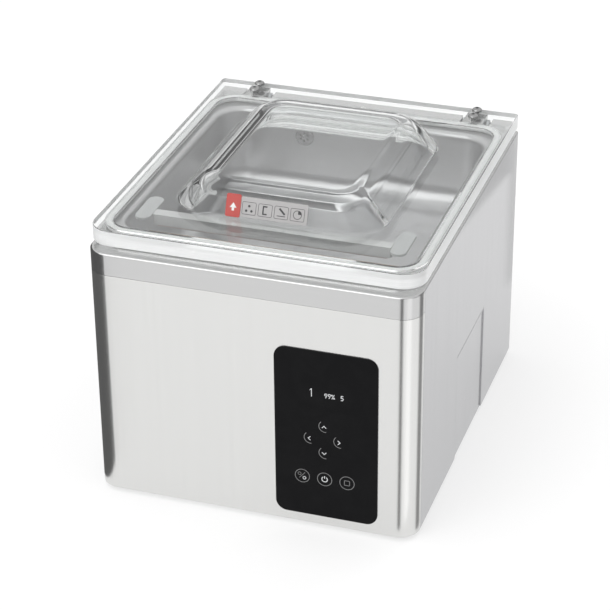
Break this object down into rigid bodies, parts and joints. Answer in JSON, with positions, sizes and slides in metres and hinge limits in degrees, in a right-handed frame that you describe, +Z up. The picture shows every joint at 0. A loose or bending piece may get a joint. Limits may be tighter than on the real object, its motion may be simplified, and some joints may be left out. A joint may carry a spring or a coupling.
{
  "type": "chamber vacuum sealer",
  "caption": "Table-top vacuum packing machine: a steel casing with a deep chamber, a clear domed lid hinged at the back, a lifting heat-seal bar and a touch control panel.",
  "frame": {"origin": "on the table, under the middle of the machine", "axes": "+X to the right seen from the front, +Y from the control panel to the hinge, +Z up"},
  "size_m": [0.4, 0.476, 0.386],
  "materials": {
    "casing_steel": "vertical brushed grain",
    "chamber_steel": "fine brushed, bright",
    "zinc_plate": "zinc plated",
    "bright_screw": "polished",
    "hinge_steel": "satin",
    "spring_steel": "bright wire",
    "black_rubber": "matte",
    "panel_glass": "polished black",
    "circuit_board": "solder resist",
    "display_black": "matte",
    "clear_acrylic": "polished, clear",
    "white_gasket": "satin",
    "white_nylon": "satin",
    "frosted_pad": "frosted",
    "red_silicone": "matte",
    "label_film": "printed film",
    "bar_aluminium": "satin",
    "wire_alloy": "bright",
    "ptfe_tape": "woven tape",
    "port_steel": "polished",
    "hose_rubber": "matte",
    "valve_brass": "machined",
    "black_plastic": "moulded",
    "rocker_black": "moulded",
    "pump_iron": "machined casting",
    "motor_grey": "die cast",
    "core_steel": "stacked sheet",
    "winding_copper": "enamelled wire",
    "vane_grey": "composite",
    "sight_glass": "clear",
    "filter_paper": "pleated",
    "plunger_white": "moulded",
    "guard_wire": "plated wire"
  },
  "bodies": {
    "casing": {"front_casing": "casing_steel", "top_deck": "casing_steel", "side_panel_left": "casing_steel", "side_panel_right": "casing_steel", "side_recess_left": "casing_steel", "side_recess_right": "casing_steel", "rear_panel": "casing_steel", "chamber_tub": "chamber_steel", "base_plate": "zinc_plate", "hinge_brackets": "zinc_plate", "lid_switch_body": "zinc_plate", "rear_panel_screws": "bright_screw", "port_screw": "bright_screw", "foot_screws": "bright_screw", "hinge_pins": "bright_screw", "hinge_springs": "spring_steel", "rubber_feet": "black_rubber", "pump_mounts": "black_rubber", "control_glass": "panel_glass", "control_pcb": "circuit_board", "display_module": "display_black", "seal_cylinders": "bar_aluminium", "chamber_port": "port_steel", "suction_hose": "hose_rubber", "valve_block": "valve_brass", "solenoid_coils": "black_plastic", "mains_inlet": "black_plastic", "fuse_drawer": "black_plastic", "switch_housing": "black_plastic", "cooling_fan_frame": "black_plastic", "fan_cowl": "black_plastic", "oil_filler_cap": "black_plastic", "pump_body": "pump_iron", "motor_housing": "motor_grey", "oil_case": "motor_grey", "motor_stator": "core_steel", "transformer_core": "core_steel", "transformer_coil": "winding_copper", "oil_sight_glass": "sight_glass", "exhaust_filter": "filter_paper", "fan_guard": "guard_wire"},
    "lid": {"lid": "clear_acrylic", "lid_gasket": "white_gasket", "counter_bar": "white_nylon", "silicone_strip": "red_silicone", "counter_bar_mounts": "frosted_pad", "hinge_leaves": "hinge_steel", "lid_screws": "bright_screw", "dome_label": "label_film"},
    "seal_bar": {"seal_bar": "bar_aluminium", "seal_wires": "wire_alloy", "ptfe_cover": "ptfe_tape", "lift_rods": "bright_screw"},
    "rocker": {"rocker": "rocker_black"},
    "cooling_fan": {"cooling_fan_rotor": "black_plastic"},
    "pump_shaft": {"motor_shaft": "core_steel", "motor_fan": "black_plastic", "pump_rotor": "pump_iron", "pump_vanes": "vane_grey"},
    "lid_switch_plunger": {"lid_switch_plunger": "plunger_white"}
  },
  "joints": [
    {"name": "lid_hinge", "type": "hinge", "parent": "casing", "child": "lid", "pos_m": [0, 0.227, 0.32], "axis": [-1, 0, 0], "range_deg": [0, 65]},
    {"name": "seal_bar_lift", "type": "slide", "parent": "casing", "child": "seal_bar", "axis": [0, 0, 1], "range_m": [0, 0.013]},
    {"name": "power_rocker", "type": "hinge", "parent": "casing", "child": "rocker", "pos_m": [-0.15, 0.233, 0.082], "axis": [-1, 0, 0], "range_deg": [0, 14]},
    {"name": "cooling_fan_spin", "type": "hinge", "parent": "casing", "child": "cooling_fan", "pos_m": [0.13, 0.2215, 0.095], "axis": [0, 1, 0], "continuous": true},
    {"name": "pump_spin", "type": "hinge", "parent": "casing", "child": "pump_shaft", "pos_m": [0, 0.06, 0.095], "axis": [1, 0, 0], "continuous": true},
    {"name": "lid_switch_travel", "type": "slide", "parent": "casing", "child": "lid_switch_plunger", "axis": [0, 0, 1], "range_m": [0, 0.003]}
  ],
  "couplings": [
    {"joint": "lid_switch_travel", "follows": "lid_hinge", "m_per_rad": 0.0026}
  ]
}
